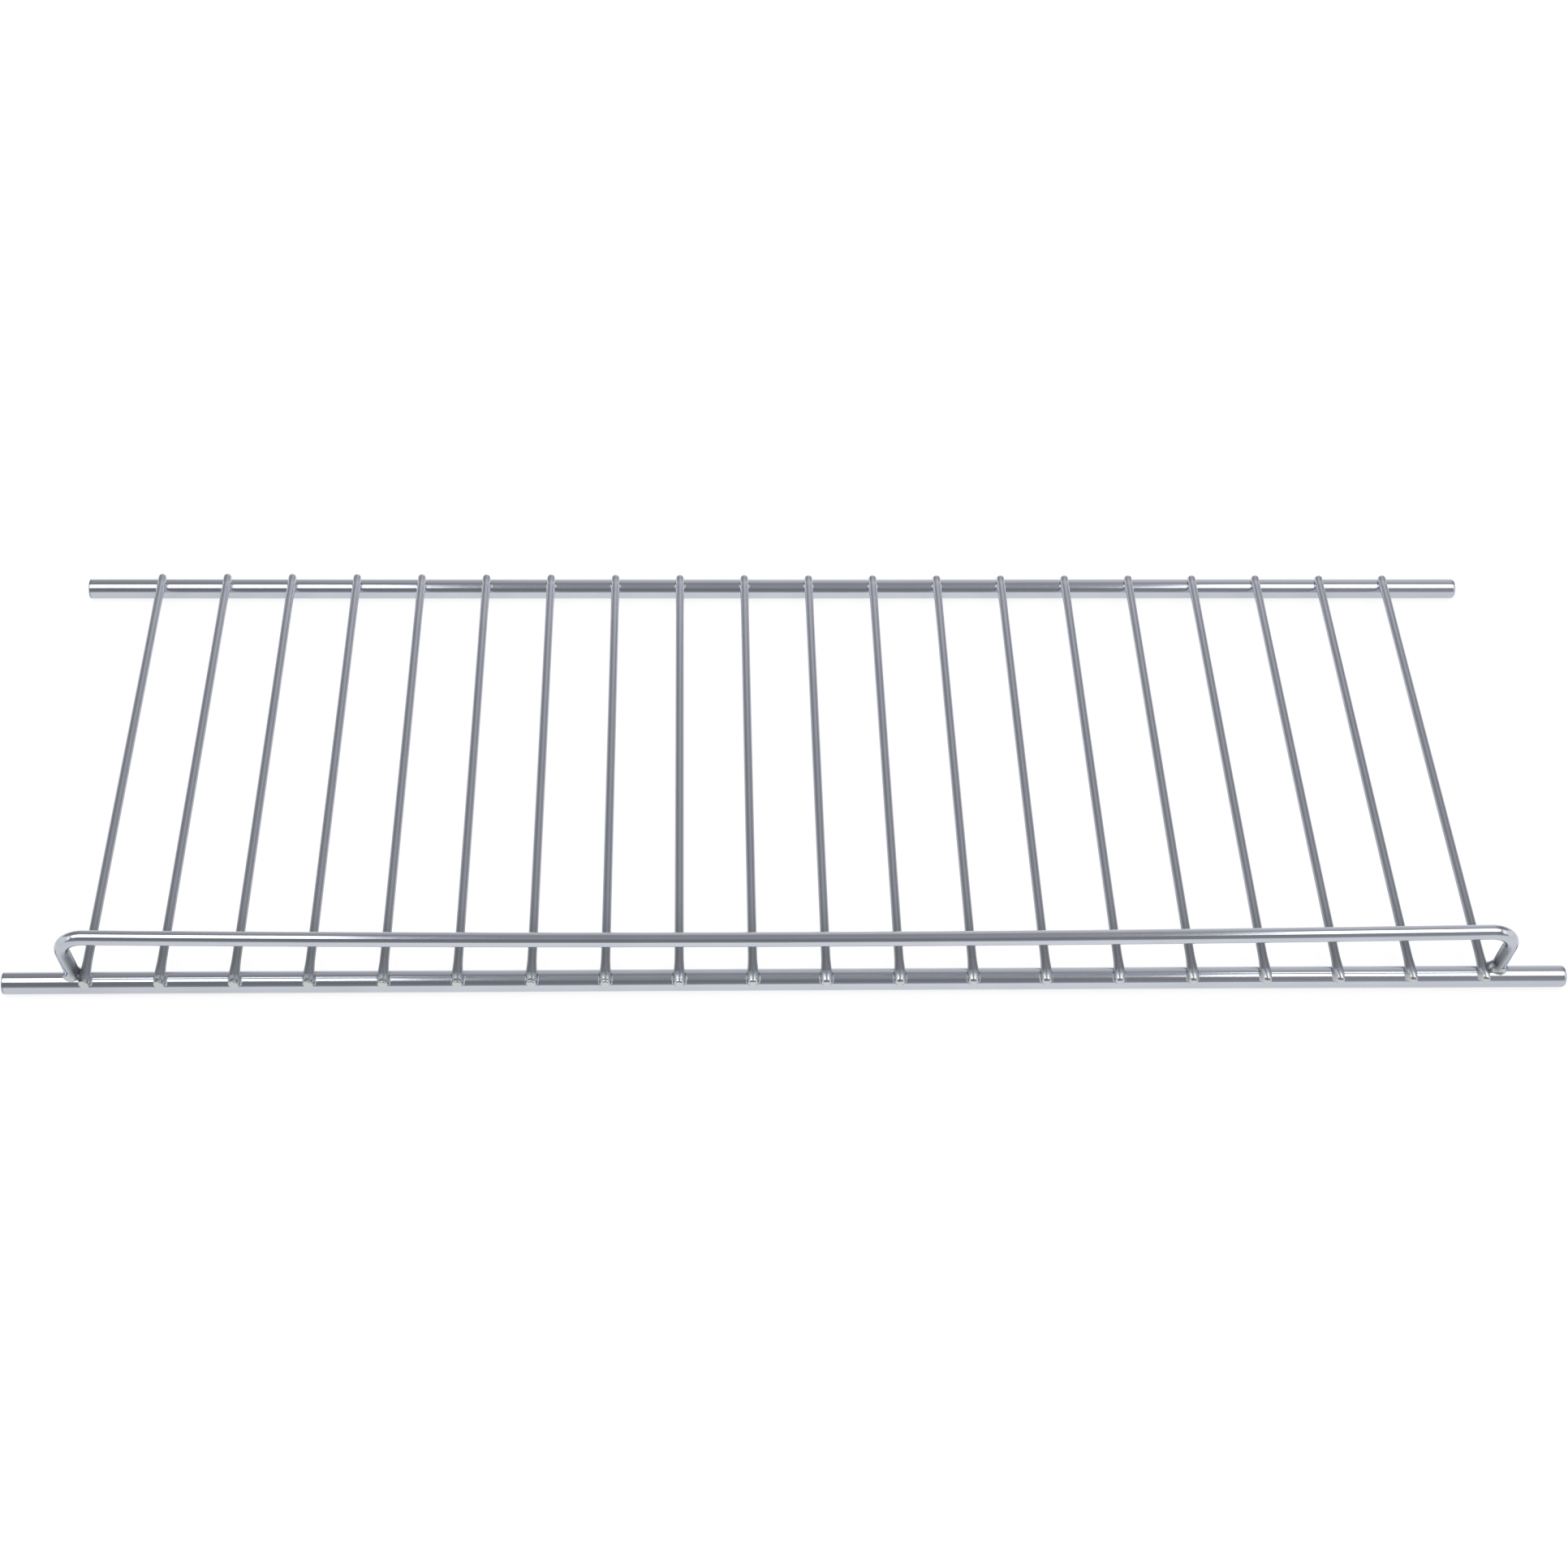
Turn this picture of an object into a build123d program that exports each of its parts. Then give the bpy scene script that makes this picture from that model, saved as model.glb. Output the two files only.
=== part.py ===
from build123d import *
import os
from math import cos, hypot, radians, sin, sqrt, tan

# Refrigerator wire shelf, in millimetres.
# Two round rods carry a row of thin cross wires, welded down across their tops, and a bent wire rail
# stands on the front rod as a guard. X runs along the rods, Y from front to rear, Z up, and the rods
# lie on Z = 0. The origin is under the middle of the shelf's box.

# Rods
rod_diameter = 6.0
rod_spacing = 160.0
rod_end_overhang = 23.0
left_end_chamfer = 0.4
right_end_round = 1.2

# Cross wires
wire_count = 20
wire_diameter = 2.5
wire_pitch = 20.0
wire_row_shift = -0.45
wire_set_down = 0.6
wire_front_overhang = 3.7
wire_rear_overhang = 1.7

# Weld metal squeezed out beside each wire on the front rod, turned forward round the rod from its top
mound_width = 5.0
mound_length = 3.4
mound_rise = 0.9
mound_top_width = 2.0
mound_top_length = 1.4
mound_turn = 22.0

# Guard rail
rail_diameter = 4.0
rail_height = 25.4
rail_lean = 9.0
rail_bend_radius = 6.5
rail_sag = 2.2
leg_splay = 5.0
leg_gap = 0.75
foot_setback = 1.0
foot_sink = 0.8

# Weld bead round each foot of the rail
bead_width = 5.4
bead_rise = 1.3

# Places worked out from the sizes above
rod_radius = rod_diameter / 2
wire_radius = wire_diameter / 2
rail_radius = rail_diameter / 2
row_half = wire_pitch * (wire_count - 1) / 2
rod_length = 2 * (row_half + rod_end_overhang)
wire_axis_height = rod_diameter + wire_radius - wire_set_down
wire_length = rod_spacing + wire_front_overhang + wire_rear_overhang
foot_x = row_half + wire_radius + leg_gap + rail_radius
rail_rise = (rail_height - rail_radius - rod_diameter) / cos(radians(rail_lean))
rail_front = foot_setback - rail_rise * sin(radians(rail_lean)) - rail_radius
front_limit = min(rail_front, -rod_radius, -wire_front_overhang)
rear_limit = rod_spacing + max(rod_radius, wire_rear_overhang)
middle_y = (front_limit + rear_limit) / 2


def make_rod(y):
    """A straight drawn rod, sheared square at its left end and rounded over at its right end."""
    rod = Pos(0, y, rod_radius) * Rot(0, 90, 0) * Cylinder(rod_radius, rod_length)
    rims = rod.edges().filter_by(GeomType.CIRCLE).sort_by(Axis.X)
    rod = chamfer(rims[0], left_end_chamfer)
    return fillet(rod.edges().filter_by(GeomType.CIRCLE).sort_by(Axis.X)[-1], right_end_round)


def weld_mound():
    """A flat-topped mound of weld metal at X = Y = 0, whose ends run down onto the rod's round surface."""
    drop = rod_radius - sqrt(rod_radius**2 - (mound_length / 2) ** 2)
    inset_x = (mound_width - mound_top_width) / 2
    inset_y = (mound_length - mound_top_length) / 2
    mound = Wedge(
        mound_width,
        mound_rise + drop,
        mound_length,
        inset_x,
        inset_y,
        mound_width - inset_x,
        mound_length - inset_y,
        align=(Align.CENTER, Align.MIN, Align.CENTER),
    )
    return Pos(0, 0, rod_diameter - drop) * Rot(90, 0, 0) * mound


def make_wire(rods):
    """One cross wire at X = 0: a round wire with a weld mound on the front rod, hollowed to sit on both rods."""
    middle = (rod_spacing + wire_rear_overhang - wire_front_overhang) / 2
    wire = Pos(0, middle, wire_axis_height) * Rot(90, 0, 0) * Cylinder(wire_radius, wire_length)
    wire += Pos(0, 0, rod_radius) * Rot(mound_turn, 0, 0) * Pos(0, 0, -rod_radius) * weld_mound()
    for rod in rods:
        wire -= rod
    return wire


def rail_path():
    """The rail's centre line in its own plane: leg, bend, gently sagging top run, bend, leg."""
    splay = radians(leg_splay)
    bend_w = rail_rise - rail_bend_radius
    leg_rise = bend_w - rail_bend_radius * sin(splay)
    bend_u = foot_x + leg_rise * tan(splay) - rail_bend_radius * cos(splay)
    sag_radius = (bend_u**2 + rail_sag**2) / (2 * rail_sag) - rail_bend_radius
    sag_w = rail_rise - rail_sag + sag_radius
    reach = rail_bend_radius / hypot(bend_u, sag_w - bend_w)
    corner = rail_bend_radius / sqrt(2)
    foot = (foot_x - foot_sink * tan(splay), -foot_sink)
    leg_top = (bend_u + rail_bend_radius * cos(splay), leg_rise)
    bend_middle = (bend_u + corner, bend_w + corner)
    run_end = (bend_u - reach * bend_u, bend_w + reach * (sag_w - bend_w))

    def left(point):
        return (-point[0], point[1])

    return Wire(
        [
            Line(left(foot), left(leg_top)),
            ThreePointArc(left(leg_top), left(bend_middle), left(run_end)),
            ThreePointArc(left(run_end), (0, rail_rise - rail_sag), run_end),
            ThreePointArc(run_end, bend_middle, leg_top),
            Line(leg_top, foot),
        ]
    )


def make_rail(front_rod, outer_wires):
    """The guard rail: one wire bent to a shallow bow, leaning forward, with a weld bead at each foot."""
    lean = radians(rail_lean)
    plane = Plane((0, foot_setback, rod_diameter), x_dir=(1, 0, 0), z_dir=(0, -cos(lean), -sin(lean)))
    path = plane * rail_path()
    rail = sweep(Plane(path @ 0, z_dir=path % 0) * Circle(rail_radius), path=path)
    for end in (0, 1):
        inward = path % end if end == 0 else -(path % end)
        bead = Cone(bead_width / 2, rail_radius, bead_rise, align=(Align.CENTER, Align.CENTER, Align.MIN))
        rail += Plane(path @ end, z_dir=inward) * Rot(0, 0, 45) * bead
    rail -= front_rod
    for wire in outer_wires:
        rail -= wire
    return rail


front_rod = make_rod(0)
rear_rod = make_rod(rod_spacing)
wire = make_wire((front_rod, rear_rod))
wires = [Pos(wire_row_shift - row_half + n * wire_pitch, 0, 0) * wire for n in range(wire_count)]

pieces = {"front_rod": front_rod, "rear_rod": rear_rod}
for n, placed in enumerate(wires, start=1):
    pieces[f"cross_wire_{n:02d}"] = placed
pieces["guard_rail"] = make_rail(front_rod, (wires[0], wires[-1]))

os.makedirs("parts", exist_ok=True)
for name, piece in pieces.items():
    export_step(Pos(0, -middle_y, 0) * piece, f"parts/{name}.step")
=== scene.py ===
import bpy
import numpy as np
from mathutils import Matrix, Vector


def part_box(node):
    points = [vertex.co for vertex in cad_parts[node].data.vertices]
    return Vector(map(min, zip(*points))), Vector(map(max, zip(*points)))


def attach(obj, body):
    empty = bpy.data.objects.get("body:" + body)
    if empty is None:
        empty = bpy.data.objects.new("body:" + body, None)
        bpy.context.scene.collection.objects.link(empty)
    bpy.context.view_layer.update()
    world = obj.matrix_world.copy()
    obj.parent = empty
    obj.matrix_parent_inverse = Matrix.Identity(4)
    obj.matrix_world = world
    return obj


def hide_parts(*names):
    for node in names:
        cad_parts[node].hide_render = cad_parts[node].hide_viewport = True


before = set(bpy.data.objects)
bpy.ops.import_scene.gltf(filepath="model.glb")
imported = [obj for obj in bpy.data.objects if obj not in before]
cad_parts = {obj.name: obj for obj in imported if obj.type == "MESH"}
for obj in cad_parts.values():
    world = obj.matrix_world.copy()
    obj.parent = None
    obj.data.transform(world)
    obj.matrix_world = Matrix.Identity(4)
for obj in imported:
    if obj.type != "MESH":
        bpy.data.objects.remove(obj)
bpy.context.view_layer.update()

# Front and rear rods
# Two straight lengths of 6 mm drawn steel wire that carry the shelf and lie on the cabinet's ledges.
# They are cropped to length, nearly square at the left and rounded over at the right, then bright plated.
mm = 0.001
rod_radius = 3.0
rod_crop_round = {"left": 0.4, "right": 1.2}
rod_ring_step = 1.5
rod_points_round = 96
draw_line_length = 700


def box_mm(node):
    """The lowest and the highest corner of a CAD node, in millimetres."""
    return [np.array(corner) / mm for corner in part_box(node)]


front_axis_y, rear_axis_y = (sum(box_mm(node))[1] / 2 for node in ("front_rod", "rear_rod"))


def node_maker(material):
    """Return a function that adds one node of a kind to a material and links its sockets by name. Its named
    values go to the node's own settings, or else to the sockets of that name."""
    tree = material.node_tree

    def add(kind, links=(), **values):
        node = tree.nodes.new(kind)
        for key, value in values.items():
            if hasattr(node, key):
                setattr(node, key, value)
            else:
                node.inputs[key.replace("_", " ")].default_value = value
        for socket, source in dict(links).items():
            tree.links.new(source, node.inputs[socket])
        return node

    return add


def bright_plated_steel(name, pale, smooth, rough):
    """Bright zinc plating over drawn wire: a bluish mirror, softened by fine lines that run along the wire.
    The attribute lay holds (length along the wire, cosine, sine round it), so noise that is stretched in
    its first number gives draw lines without a seam. The attribute dull is 1 on weld metal and cut ends, and
    the painted shade attribute is the share by which the plating is painted darker as shade.
    Roughness goes from smooth to rough with the lines, to 0.45 with the painted shade and to 0.15 on the welds."""
    material = bpy.data.materials.new(name)
    material.use_nodes = True
    material.node_tree.nodes.clear()
    add = node_maker(material)
    lay = add("ShaderNodeAttribute", attribute_name="lay")
    dull = add("ShaderNodeAttribute", attribute_name="dull").outputs["Fac"]
    painted_shade = add("ShaderNodeAttribute", attribute_name="painted_shade").outputs["Fac"]
    place = add("ShaderNodeTexCoord").outputs["Object"]
    lines = add("ShaderNodeTexNoise", {"Vector": lay.outputs["Vector"]}, Scale=14.0, Detail=3.0, Roughness=0.6)
    bloom = add("ShaderNodeTexNoise", {"Vector": place}, Scale=60.0, Detail=3.0)
    grain = add("ShaderNodeTexNoise", {"Vector": place}, Scale=1400.0, Detail=2.0)
    zinc = add(
        "ShaderNodeMix",
        {"Factor": bloom.outputs["Fac"]},
        data_type="RGBA",
        A=(0.505 * pale, 0.530 * pale, 0.590 * pale, 1),
        B=(0.590 * pale, 0.615 * pale, 0.680 * pale, 1),
    )
    # Painted shade: by the painted shade share, the plating is mixed towards dark grey.
    shaded_zinc = add(
        "ShaderNodeMix",
        {"Factor": painted_shade, "A": zinc.outputs["Result"]},
        data_type="RGBA",
        B=(0.165, 0.180, 0.195, 1),
    )
    tinted = add(
        "ShaderNodeMix",
        {"Factor": dull, "A": shaded_zinc.outputs["Result"]},
        data_type="RGBA",
        B=(0.565, 0.580, 0.585, 1),
    )
    sheen = add(
        "ShaderNodeMapRange",
        {"Value": lines.outputs["Fac"]},
        From_Min=0.3,
        From_Max=0.7,
        To_Min=smooth,
        To_Max=rough,
    )
    shade_roughness = add("ShaderNodeMix", {"Factor": painted_shade, "A": sheen.outputs["Result"]}, data_type="FLOAT", B=0.45)
    worn = add("ShaderNodeMix", {"Factor": dull, "A": shade_roughness.outputs["Result"]}, data_type="FLOAT", B=0.15)
    ridges = add("ShaderNodeBump", {"Height": lines.outputs["Fac"]}, Strength=0.03, Distance=0.00002)
    pits = add("ShaderNodeMath", {0: grain.outputs["Fac"], 1: dull}, operation="MULTIPLY")
    relief = add(
        "ShaderNodeBump",
        {"Height": pits.outputs["Value"], "Normal": ridges.outputs["Normal"]},
        Strength=0.55,
        Distance=0.00008,
    )
    surface = add(
        "ShaderNodeBsdfPrincipled",
        {
            "Base Color": tinted.outputs["Result"],
            "Roughness": worn.outputs["Result"],
            "Normal": relief.outputs["Normal"],
        },
        Metallic=1.0,
    )
    add("ShaderNodeOutputMaterial", {"Surface": surface.outputs["BSDF"]})
    return material


rod_plating = bright_plated_steel("bright_plated_rod", 1.0, 0.10, 0.15)


def wire_skin(name, rings, lay, dull, painted_shade, node, finish):
    """One closed skin from rings[i, j], in millimetres: point j round ring i. Neighbouring rings are joined
    by a band of quads, and the first and last ring are closed by a fan to their middle. lay, dull and the
    share of painted shade are given for every point. The skin stands for the CAD node of the same piece."""
    count, around = rings.shape[:2]
    total = count * around
    index = np.arange(total).reshape(count, around)
    ahead = np.roll(index, -1, axis=1)
    bands = np.stack([index[:-1], ahead[:-1], ahead[1:], index[1:]], axis=-1).reshape(-1, 4)
    first = np.stack([ahead[0], index[0], np.full(around, total)], axis=-1)
    last = np.stack([index[-1], ahead[-1], np.full(around, total + 1)], axis=-1)
    ends = [0, -1]
    points = np.vstack([rings.reshape(-1, 3), rings[ends].mean(1)]) * mm
    lay = np.vstack([lay.reshape(-1, 3), lay[ends].mean(1)])
    mesh = bpy.data.meshes.new(name)
    mesh.from_pydata(points.tolist(), [], bands.tolist() + first.tolist() + last.tolist())
    mesh.polygons.foreach_set("use_smooth", np.ones(len(mesh.polygons), bool))
    mesh.attributes.new("lay", "FLOAT_VECTOR", "POINT").data.foreach_set("vector", lay.ravel())
    for share, value in (("dull", dull), ("painted_shade", painted_shade)):
        value = np.append(value.reshape(-1), value[ends].mean(1))
        mesh.attributes.new(share, "FLOAT", "POINT").data.foreach_set("value", value)
    mesh.materials.append(finish)
    mesh.update()
    piece = bpy.data.objects.new(name, mesh)
    bpy.context.scene.collection.objects.link(piece)
    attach(piece, "root")
    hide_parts(node)


def cropped_end(radius, rounding, steps):
    """Profile of a cropped wire end as (distance from the end, radius): a flat face from the middle outwards,
    then a quarter round of the given size up to the full radius."""
    face = np.linspace(0.04, 1, 7)[:-1] * (radius - rounding)
    turn = np.linspace(0, np.pi / 2, steps)
    inward = np.concatenate([np.zeros(face.size), rounding * (1 - np.cos(turn))])
    return inward, np.concatenate([face, radius - rounding + rounding * np.sin(turn)])


def rod_skin(name, node, axis_y, seed):
    """A straight rod: circles of the end profile's radius, with the whole length between them. The rod is
    a hair out of true, by two long sine waves of a few hundredths of a millimetre. Painted shade darkens the
    plating on the last half millimetre at each cropped rim, as a dark edge line at both ends."""
    low, high = box_mm(node)
    left_in, left_r = cropped_end(rod_radius, rod_crop_round["left"], 5)
    right_in, right_r = cropped_end(rod_radius, rod_crop_round["right"], 9)
    body = np.arange(low[0] + 0.7, high[0] - 1.5, rod_ring_step)
    x = np.concatenate([low[0] + left_in, body, (high[0] - right_in)[::-1]])
    radius = np.concatenate([left_r, np.full(body.size, rod_radius), right_r[::-1]])
    turn = np.linspace(0, 2 * np.pi, rod_points_round, endpoint=False)
    wander = 0.03 * np.sin(x / 61 + seed) + 0.02 * np.sin(x / 23 + 2 * seed)
    rings = np.empty((x.size, turn.size, 3))
    rings[..., 0] = x[:, None]
    rings[..., 1] = axis_y + wander[:, None] + radius[:, None] * np.cos(turn)
    rings[..., 2] = low[2] + rod_radius + radius[:, None] * np.sin(turn)
    lay = np.empty_like(rings)
    lay[..., 0] = x[:, None] / draw_line_length + seed
    lay[..., 1] = np.cos(turn)
    lay[..., 2] = np.sin(turn)
    cut = (radius < rod_radius - 0.35).astype(float)
    # Painted shade: the last half millimetre at each cropped rim is painted darker, as a dark edge line.
    left_rim = np.clip((low[0] + 0.65 - x) / 0.4, 0, 1)
    right_rim = np.clip((x - high[0] + 0.75) / 0.5, 0, 1)
    cut, rim = (np.repeat(share[:, None], turn.size, axis=1) for share in (cut, left_rim + right_rim))
    wire_skin(name, rings, lay, cut, 0.65 * rim, node, rod_plating)


rod_skin("drawn_front_rod", "front_rod", front_axis_y, 1.0)
rod_skin("drawn_rear_rod", "rear_rod", rear_axis_y, 5.0)

# Cross wires
# Twenty straight 2.5 mm steel wires laid over both rods. Resistance welding presses each crossing down, which
# flattens the wire's top, sinks it into the rod and squeezes a little metal out as ears on both sides.
wire_total = 20
wire_radius = 1.25
wire_axis_z = 6.65
wire_front_end = front_axis_y - 3.7
wire_rear_dome = 1.15
wire_ring_step = 0.14
wire_points_round = 64
crossing_reach = 6.0
weld_height = 1.2
wire_plating = bright_plated_steel("bright_plated_wire", 1.05, 0.26, 0.36)
chance = np.random.default_rng(11)


def along_row(places, values, scatter=0):
    """One value for each wire: straight lines between the values at places that run from 0 at the left wire to
    1 at the right one, and a random scatter of that full width."""
    steady = np.interp(np.linspace(0, 1, wire_total), places, values)
    if not scatter:
        return steady
    return steady + scatter * (chance.random(wire_total) - 0.5)


ear_right = along_row([0, 0.4, 0.6, 1], [2.5, 2.2, 2.1, 1.7], 0.25)
ear_left = along_row([0, 0.5, 1], [1.9, 2.1, 1.9], 0.25)
end_slant = along_row([0, 0.3, 0.7, 1], [-0.28, -0.05, 0.0, -0.10], 0.06)
end_drop = along_row([0, 0.25, 0.5, 1], [0.50, 0.95, 1.30, 1.20], 0.14)
end_start = along_row([0, 0.25, 0.5, 1], [1.0, 0.7, 0.4, 0.4])
end_slope = along_row([0, 0.25, 0.5, 1], [1.5, 2.4, 3.3, 3.2])
end_round = along_row([0, 0.3, 0.6, 1], [0.15, 0.55, 0.90, 0.75])
end_swell = along_row([0, 0.3, 0.6, 1], [0.08, 0.02, -0.06, -0.16])
end_push = along_row([0, 0.75, 0.85, 1], [0.0, 0.0, 0.45, 0.55])
rear_past = along_row([0, 0.15, 0.35, 0.6, 1], [2.25, 2.10, 1.85, 1.50, 1.50], 0.12)
press_depth = 0.14 + 0.08 * chance.random((wire_total, 2))


def wire_stations(number):
    """Places along Y and radii of one wire's rings: the cropped front end, close rings at both crossings with
    wide ones between them, and the domed rear end."""
    rear_end = rear_axis_y + rear_past[number]
    front_in, front_r = cropped_end(wire_radius, end_round[number], 9)
    rear_in, rear_r = cropped_end(wire_radius, wire_rear_dome, 12)
    front = np.arange(wire_front_end + 0.95, front_axis_y + crossing_reach, wire_ring_step)
    span = np.linspace(front_axis_y + crossing_reach, rear_axis_y - crossing_reach, 40)
    rear = np.arange(rear_axis_y - crossing_reach + wire_ring_step, rear_end - 1.25, wire_ring_step)
    plain = np.full(front.size + span.size + rear.size, wire_radius)
    y = np.concatenate([wire_front_end + front_in, front, span, rear, (rear_end - rear_in)[::-1]])
    return y, np.concatenate([front_r, plain, rear_r[::-1]])


def welded_wire(number):
    """One cross wire as rings along Y. Each ring starts as a circle, x = r sin t, z = r cos t. In front of the
    front rod's crest the rings sink by a smooth step p^2 (3 - 2p), the cut face slants, and the upper half is a
    little flattened by a bell curve in y. At a crossing the skin is drawn out to the ear's half width and down
    to the rod by the share (1 - h / reach)^1.5, where h is its height above the rod, so that it runs into the
    rod as a fillet. Painted shade darkens the plating from the rear towards the front weld by
    1 - exp(-u / 0.28), u being the share of the way, and a painted shadow of the guard rail lies on the wire a
    few millimetres behind the front rod."""
    node = f"cross_wire_{number + 1:02d}"
    low, high = box_mm(node)
    y, radius = wire_stations(number)
    turn = np.linspace(0, 2 * np.pi, wire_points_round, endpoint=False)[None, :]
    x = radius[:, None] * np.sin(turn)
    z = radius[:, None] * np.cos(turn)
    y = y[:, None] + 0 * turn

    # The front end sinks, slants and swells or tapers
    past = np.clip((front_axis_y - end_start[number] - y) / end_slope[number], 0, 1)
    fall = past**2 * (3 - 2 * past)
    near_end = np.clip((front_axis_y - 1.6 - y) / 2.1, 0, 1)
    y = y + near_end * (end_slant[number] * x + 0.08 * z)
    z = z * (1 + end_swell[number] * near_end) - end_drop[number] * fall
    x = x * (1 + end_swell[number] * near_end) + end_push[number] * fall

    # The wire spreads a little where it comes down to the front rod
    behind = y - front_axis_y
    spread = np.exp(-np.clip((behind + 0.5) / 3.2, 0, None) ** 2) * (1 - 0.6 * near_end)
    x = x * (1 + 0.18 * spread)
    dull = near_end
    # Painted shade: darker from the rear crossing towards the front, with a painted shadow of the rail behind
    # the front rod.
    ahead = np.clip((rear_axis_y - 11 - y) / (rear_axis_y - front_axis_y), 0, 1)
    painted_shade = 0.42 * (1 - np.exp(-ahead / 0.28)) + 0.32 * np.exp(-(((behind - 7) / 12) ** 2))

    # Both crossings are pressed flat on top and squeezed out into ears beside the wire
    for rear, (axis_y, centre, half) in enumerate(((front_axis_y, -1.5, 1.6), (rear_axis_y, -1.9, 1.4))):
        along = y - axis_y
        pressed = np.exp(-(((along + 1.2) / 1.5) ** 2))
        z = np.where(z > 0, z * (1 - press_depth[number, rear] * pressed), z)
        height = np.hypot(along, z + wire_axis_z - rod_radius) - rod_radius
        squeezed = np.clip(1 - height / weld_height, 0, 1) ** 1.5 * np.exp(-(((along - centre) / half) ** 4))
        reach = np.where(x > 0, ear_right[number], ear_left[number]) - 0.25 * rear
        ground = rod_radius + np.sqrt(np.clip(rod_radius**2 - along**2, 0, None)) - wire_axis_z - 0.05
        x = x * (1 - squeezed) + reach * np.tanh(x / 0.25) * squeezed
        z = np.where(z > ground, z * (1 - squeezed) + ground * squeezed, z)
        dull = np.maximum(dull, np.clip(1.4 * squeezed, 0, 1))
    rings = np.stack([(low[0] + high[0]) / 2 + x, y, wire_axis_z + z], axis=-1)
    lay = np.stack(
        [y / draw_line_length + 3.7 * number, np.sin(turn) + 0 * y, np.cos(turn) + 0 * y],
        axis=-1,
    )
    wire_skin(f"welded_wire_{number + 1:02d}", rings, lay, dull, painted_shade, node, wire_plating)


for number in range(wire_total):
    welded_wire(number)

# Guard rail
# One 4 mm steel wire bent at both ends to a low bow, so that goods can't slide off the front. It leans forward
# a little, its long run sags between the bends, and its splayed feet are welded down beside the outer wires.
rail_radius = 2.0
rail_rise = 17.617
rail_lean = np.radians(9.0)
rail_bend = 6.5
rail_sag = 2.2
rail_points_round = 64
leg_splay = np.radians(5.0)
foot_x = 194.0
foot_setback = 1.0
foot_sink = 0.8
bead_swell = 0.8
web_swell = {"left": 0.5, "right": 1.1}


def rail_half():
    """Centre line of the right half in the rail's own plane (across, up), from the middle outwards: an arc of
    very large radius that sags, a tangent bend of small radius, and a straight splayed leg."""
    bend_up = rail_rise - rail_bend
    leg_up = bend_up - rail_bend * np.sin(leg_splay)
    bend_across = foot_x + leg_up * np.tan(leg_splay) - rail_bend * np.cos(leg_splay)
    sag_radius = (bend_across**2 + rail_sag**2) / (2 * rail_sag) - rail_bend
    sag_up = rail_rise - rail_sag + sag_radius
    run = np.linspace(0, np.arctan2(bend_across, sag_up - bend_up), 150)
    turn = np.linspace(np.arctan2(sag_up - bend_up, -bend_across), -leg_splay, 40)[1:]
    leg = np.linspace(leg_up, -foot_sink, 70)[1:]
    across = [
        sag_radius * np.sin(run),
        bend_across + rail_bend * np.cos(turn),
        foot_x + leg * np.tan(leg_splay),
    ]
    up = [sag_up - sag_radius * np.cos(run), bend_up + rail_bend * np.sin(turn), leg]
    return np.concatenate(across), np.concatenate(up)


def bent_rail():
    """The rail as circles carried along its centre line, in a plane that leans forward. Near the rod the skin
    swells by bead * (1 - h / reach)^2, h being its height above the rod, with lumps from sines round the leg,
    and a web of weld metal reaches from each foot towards the outer wire. Painted shade darkens the legs'
    inner sides."""
    across, up = rail_half()
    across = np.concatenate([-across[:0:-1], across])
    up = np.concatenate([up[:0:-1], up])
    ahead = np.stack([np.gradient(across), np.gradient(up)])
    ahead = ahead / np.hypot(*ahead)
    length = np.concatenate([[0], np.cumsum(np.hypot(np.diff(across), np.diff(up)))])
    turn = np.linspace(0, 2 * np.pi, rail_points_round, endpoint=False)[None, :]
    sideways = np.array([1, 0, 0])
    rise = np.array([0, -np.sin(rail_lean), np.cos(rail_lean)])
    back = np.array([0, np.cos(rail_lean), np.sin(rail_lean)])
    foot = np.array([0, front_axis_y + foot_setback, 2 * rod_radius])
    centre = foot + across[:, None] * sideways + up[:, None] * rise
    outward = -ahead[1][:, None] * sideways + ahead[0][:, None] * rise
    spoke = np.cos(turn)[..., None] * outward[:, None] - np.sin(turn)[..., None] * back
    skin = centre[:, None] + rail_radius * spoke
    height = np.hypot(skin[..., 1] - front_axis_y, skin[..., 2] - rod_radius) - rod_radius
    side = np.sign(across)[:, None]
    facing_in = -side * spoke[..., 0]
    lumps = 1 + 0.30 * np.sin(2 * turn + side) + 0.25 * np.sin(3 * turn + 2 + 1.5 * side + 0.8 * height)
    weld = np.clip(1 - height / (1.9 + 0.5 * np.sin(2 * turn + side)), 0, 1) ** 2
    web = np.clip(1 - height / 2.4, 0, 1) * np.clip(facing_in, 0, 1) ** 2
    dull = np.clip(1.6 * weld + web, 0, 1)
    # Painted shade: the inner side of each leg, up to about 15 mm above the rod, is painted darker.
    painted_shade = 0.85 * np.clip((15 - height) / 5, 0, 1) * np.exp(-(((facing_in - 0.6) / 0.55) ** 2))
    swell = bead_swell * weld * lumps + np.where(side > 0, web_swell["right"], web_swell["left"]) * web
    rings = skin + swell[..., None] * spoke
    lay = np.stack(
        [length[:, None] / draw_line_length + 0 * turn, np.cos(turn) + 0 * height, np.sin(turn) + 0 * height],
        axis=-1,
    )
    wire_skin("bent_guard_rail", rings, lay, dull, painted_shade, "guard_rail", rod_plating)


bent_rail()

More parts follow.
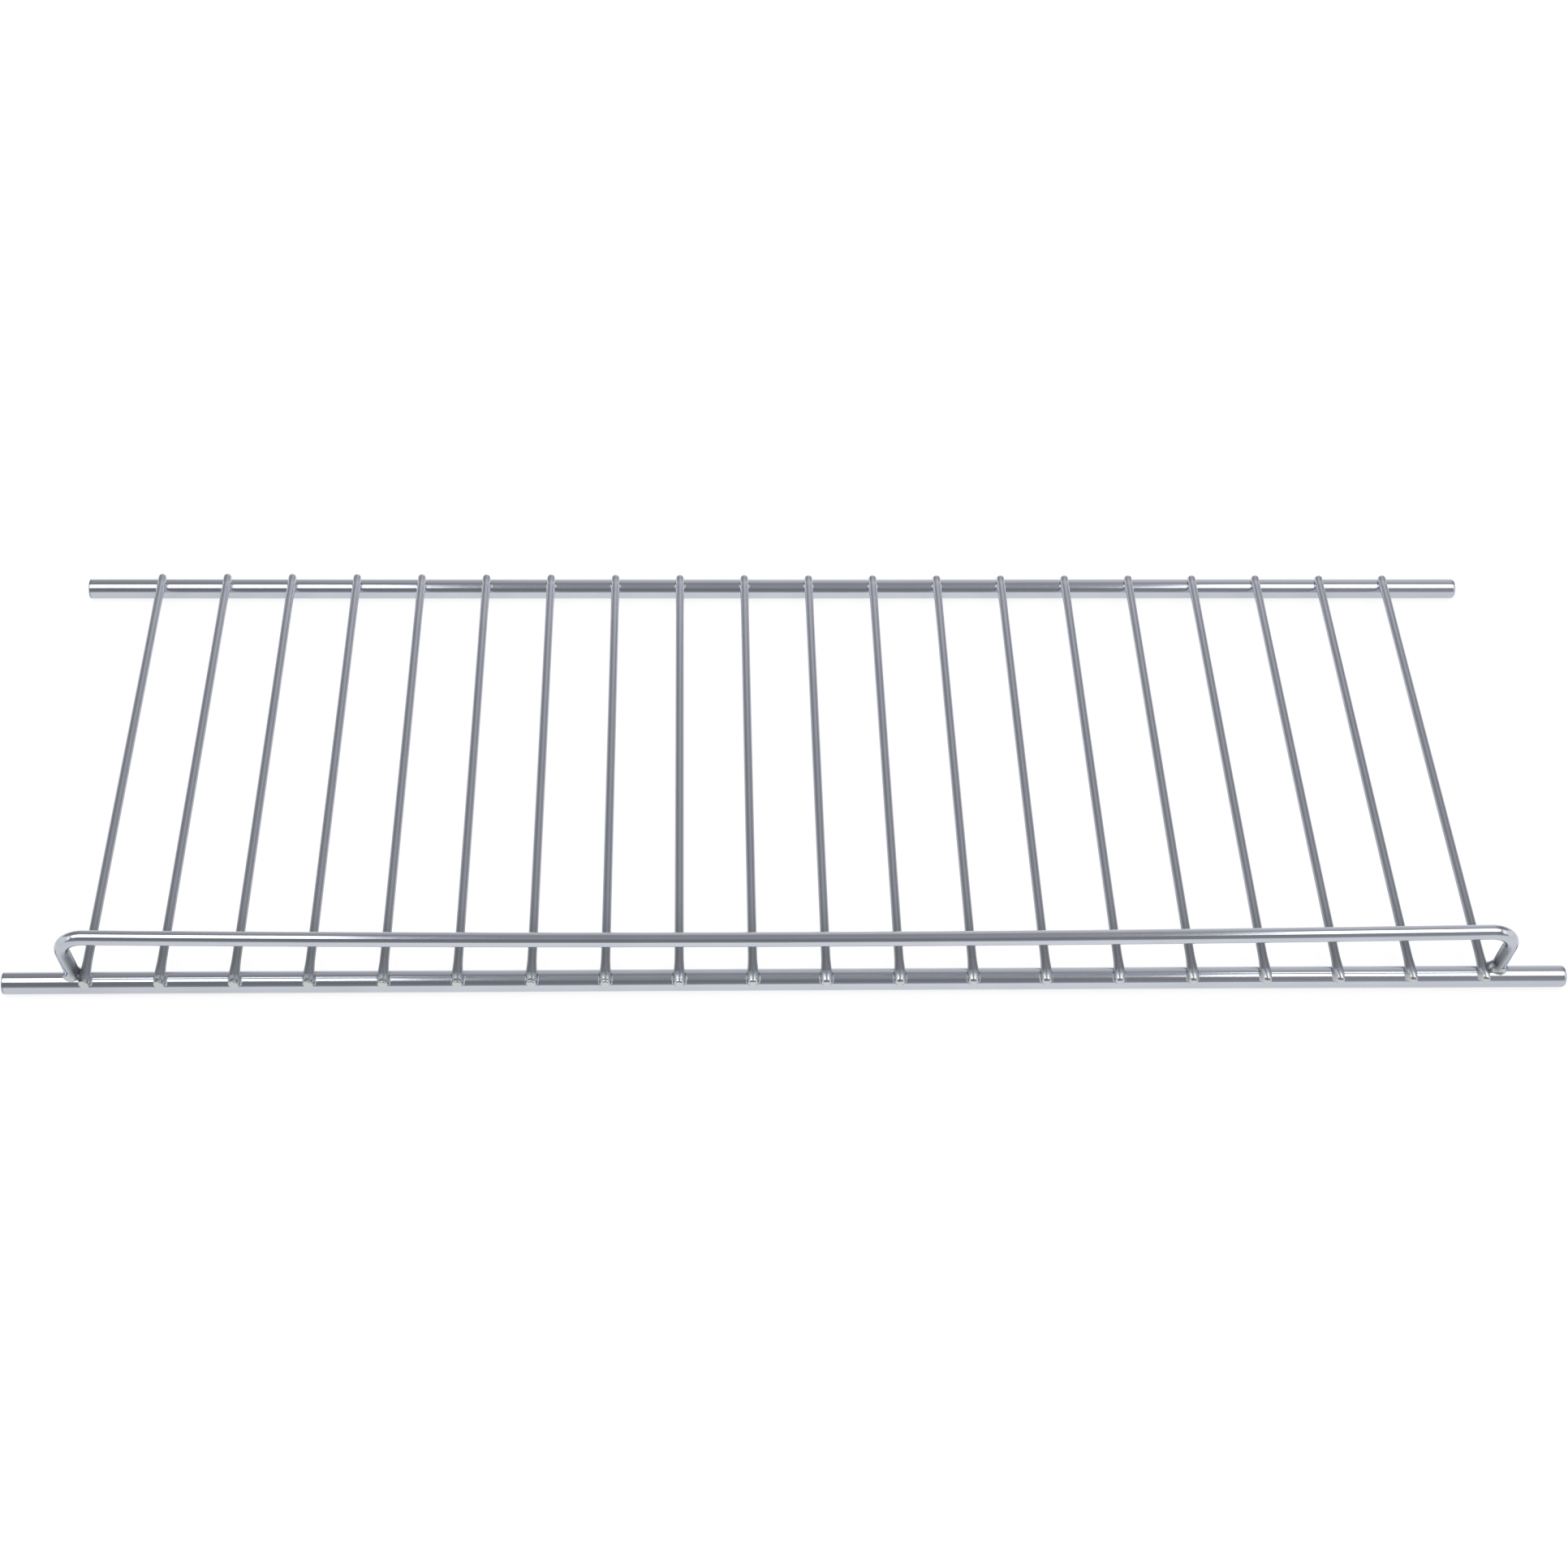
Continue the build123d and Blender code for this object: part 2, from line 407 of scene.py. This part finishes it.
# Floor
# A plain white sweep of paper that the shelf lies on. Seen directly or in the metal it mostly glows its own
# white, so that only a trace of the shelf's shadow stays on it. In the metal its glow fades a little towards
# both ends, as a painted fall-off of the light.
floor_half = 4
floor_own_white = 0.85
fade_from, fade_to, fade_depth = 0.08, 0.26, -0.17
floor_mesh = bpy.data.meshes.new("studio_floor")
floor_mesh.from_pydata(
    [
        (-floor_half, -floor_half, 0),
        (floor_half, -floor_half, 0),
        (floor_half, floor_half, 0),
        (-floor_half, floor_half, 0),
    ],
    [],
    [(0, 1, 2, 3)],
)
floor = bpy.data.objects.new("studio_floor", floor_mesh)
bpy.context.scene.collection.objects.link(floor)


def seen_rays(add):
    """The light path node, and a socket that is 1 for what is seen directly, in the metal or through glass."""
    path = add("ShaderNodeLightPath")
    rays = path.outputs
    direct = add("ShaderNodeMath", {0: rays["Is Camera Ray"], 1: rays["Is Glossy Ray"]}, operation="MAXIMUM")
    seen = add(
        "ShaderNodeMath",
        {0: direct.outputs["Value"], 1: rays["Is Transmission Ray"]},
        operation="MAXIMUM",
    )
    return path, seen.outputs["Value"]


paper = bpy.data.materials.new("white_floor_paper")
paper.use_nodes = True
paper.node_tree.nodes.clear()
add = node_maker(paper)
path, seen = seen_rays(add)
share = add("ShaderNodeMath", {0: seen}, operation="MULTIPLY")
share.inputs[1].default_value = floor_own_white
place = add("ShaderNodeTexCoord")
across = add("ShaderNodeSeparateXYZ", {"Vector": place.outputs["Object"]})
outwards = add("ShaderNodeMath", {0: across.outputs["X"]}, operation="ABSOLUTE")
fading = add(
    "ShaderNodeMapRange",
    {"Value": outwards.outputs["Value"]},
    From_Min=fade_from,
    From_Max=fade_to,
    To_Min=0.0,
    To_Max=fade_depth,
)
bright = add(
    "ShaderNodeMath",
    {0: path.outputs["Is Glossy Ray"], 1: fading.outputs["Result"]},
    operation="MULTIPLY_ADD",
)
bright.inputs[2].default_value = 1.0
matt = add("ShaderNodeBsdfDiffuse", Color=(0.90, 0.90, 0.90, 1))
white = add("ShaderNodeEmission", {"Strength": bright.outputs["Value"]}, Color=(1, 1, 1, 1))
sheet = add(
    "ShaderNodeMixShader",
    {"Fac": share.outputs["Value"], 1: matt.outputs["BSDF"], 2: white.outputs["Emission"]},
)
add("ShaderNodeOutputMaterial", {"Surface": sheet.outputs["Shader"]})
floor_mesh.materials.append(paper)

# Backdrop
# A plain glowing arch over the set, which only the metal sees: it glows lighter at the rear, darker overhead
# and behind the camera, and bright overhead at both ends, so that the wires get the light and dark bands of
# a studio. Its glow strengths are given at angles that run from the front horizon over the top to the rear one.
arch_radius = 2.0
arch_angle = np.linspace(0, 180, 121)
arch_x = np.linspace(-3.5, 3.5, 36)
grey_at = [0, 8, 17, 35, 50, 63, 91, 113, 125, 138, 160, 172, 176]
grey_end = [0.50, 0.40, 0.50, 1.00, 1.60, 1.60, 1.30, 0.70, 0.40, 0.32, 0.28, 0.28, 1.00]
grey_side = [0.50, 0.36, 0.32, 0.28, 0.30, 0.32, 0.34, 0.34, 0.32, 0.30, 0.28, 0.28, 1.00]
grey_left = [0.50, 0.36, 0.26, 0.24, 0.27, 0.30, 0.32, 0.34, 0.36, 0.38, 0.42, 0.44, 1.00]
grey_middle = [0.50, 0.36, 0.29, 0.24, 0.32, 0.42, 0.38, 0.36, 0.53, 0.72, 0.76, 0.76, 1.00]
grey_right = [0.56, 0.46, 0.42, 0.40, 0.42, 0.45, 0.50, 0.56, 0.62, 0.70, 0.78, 0.84, 1.00]
strips = (grey_end, grey_side, grey_left, grey_middle, grey_right, grey_side, grey_end)
strip_x = [-2.6, -2.2, -1.3, -0.7, 0, 0.3, 0.8, 1.4, 2.0, 2.4]
strip_there = [0, 1, 1, 2, 3, 3.2, 4, 5, 5, 6]
greys = np.stack([np.interp(arch_angle, grey_at, grey) for grey in strips])
nearest = np.interp(arch_x, strip_x, strip_there)
strip_share = np.clip(1 - np.abs(nearest[:, None] - np.arange(len(strips))), 0, 1)
arch_grey = strip_share @ greys
arch = np.empty((arch_x.size, arch_angle.size, 3))
arch[..., 0] = arch_x[:, None]
arch[..., 1] = -arch_radius * np.cos(np.radians(arch_angle))
arch[..., 2] = arch_radius * np.sin(np.radians(arch_angle))
corner = np.arange(arch_grey.size).reshape(arch_grey.shape)
arch_faces = np.stack([corner[:-1, :-1], corner[1:, :-1], corner[1:, 1:], corner[:-1, 1:]], axis=-1)
arch_mesh = bpy.data.meshes.new("studio_arch")
arch_mesh.from_pydata(arch.reshape(-1, 3).tolist(), [], arch_faces.reshape(-1, 4).tolist())
arch_mesh.attributes.new("grey", "FLOAT", "POINT").data.foreach_set("value", arch_grey.ravel())
backdrop = bpy.data.objects.new("studio_arch", arch_mesh)
bpy.context.scene.collection.objects.link(backdrop)
backdrop.visible_camera = False
backdrop.visible_diffuse = False
backdrop.visible_shadow = False
card = bpy.data.materials.new("glowing_backdrop_arch")
card.use_nodes = True
card.node_tree.nodes.clear()
add = node_maker(card)
grey = add("ShaderNodeAttribute", attribute_name="grey")
glow = add("ShaderNodeEmission", {"Strength": grey.outputs["Fac"]}, Color=(1.0, 1.0, 1.02, 1))
add("ShaderNodeOutputMaterial", {"Surface": glow.outputs["Emission"]})
arch_mesh.materials.append(card)

# Light
# Two soft boxes hang face down over the shelf, one towards each end, and put a white band on the rods and the
# rail there. A plain white room fills the shadows, and is the background that the camera and the metal see.
lamp_height = 0.95
lamp_watts_per_area = 8.0
room_fill, room_seen = 1.1, 1.0
for name, x, y, width, depth in (
    ("left_soft_box", -0.66, -0.275, 0.90, 0.73),
    ("right_soft_box", 0.63, -0.26, 0.66, 0.76),
):
    lamp = bpy.data.lights.new(name, "AREA")
    lamp.shape = "RECTANGLE"
    lamp.size = width
    lamp.size_y = depth
    lamp.energy = lamp_watts_per_area * width * depth
    soft_box = bpy.data.objects.new(name, lamp)
    soft_box.location = (x, y, lamp_height)
    bpy.context.scene.collection.objects.link(soft_box)
world = bpy.data.worlds.new("white_room")
bpy.context.scene.world = world
world.use_nodes = True
world.node_tree.nodes.clear()
add = node_maker(world)
path, seen = seen_rays(add)
level = add("ShaderNodeMapRange", {"Value": seen}, To_Min=room_fill, To_Max=room_seen)
room = add("ShaderNodeBackground", {"Strength": level.outputs["Result"]}, Color=(1, 1, 1, 1))
add("ShaderNodeOutputWorld", {"Surface": room.outputs["Background"]})
bpy.context.scene.view_settings.view_transform = "Standard"

# Camera
# It stands in front of the shelf, a little left of its middle, and looks down at about 45 degrees. Its place,
# its turn and its focal length were fitted to the edges of the rods and the lines of the wires.
picture_pixels = 1932
focal_pixels = 3474.39
sensor_width = 36.0
camera_yaw, camera_down, camera_roll = np.radians([2.6704, 45.5601, 1.7731])
camera_place = np.array([-26.853, front_axis_y - 499.590, 589.233]) * mm
level_ahead = np.array([np.sin(camera_yaw), np.cos(camera_yaw), 0])
forward = np.cos(camera_down) * level_ahead - np.sin(camera_down) * np.array([0, 0, 1])
level_right = np.array([np.cos(camera_yaw), -np.sin(camera_yaw), 0])
level_up = np.cross(level_right, forward)
right = np.cos(camera_roll) * level_right + np.sin(camera_roll) * level_up
above = -np.sin(camera_roll) * level_right + np.cos(camera_roll) * level_up
lens = bpy.data.cameras.new("photo_camera")
lens.sensor_width = sensor_width
lens.lens = focal_pixels / picture_pixels * sensor_width
lens.clip_start = 0.01
camera = bpy.data.objects.new("photo_camera", lens)
bpy.context.scene.collection.objects.link(camera)
turned = np.eye(4)
turned[:3, :3] = np.stack([right, above, -forward], axis=-1)
turned[:3, 3] = camera_place
camera.matrix_world = turned.T.tolist()
bpy.context.scene.camera = camera
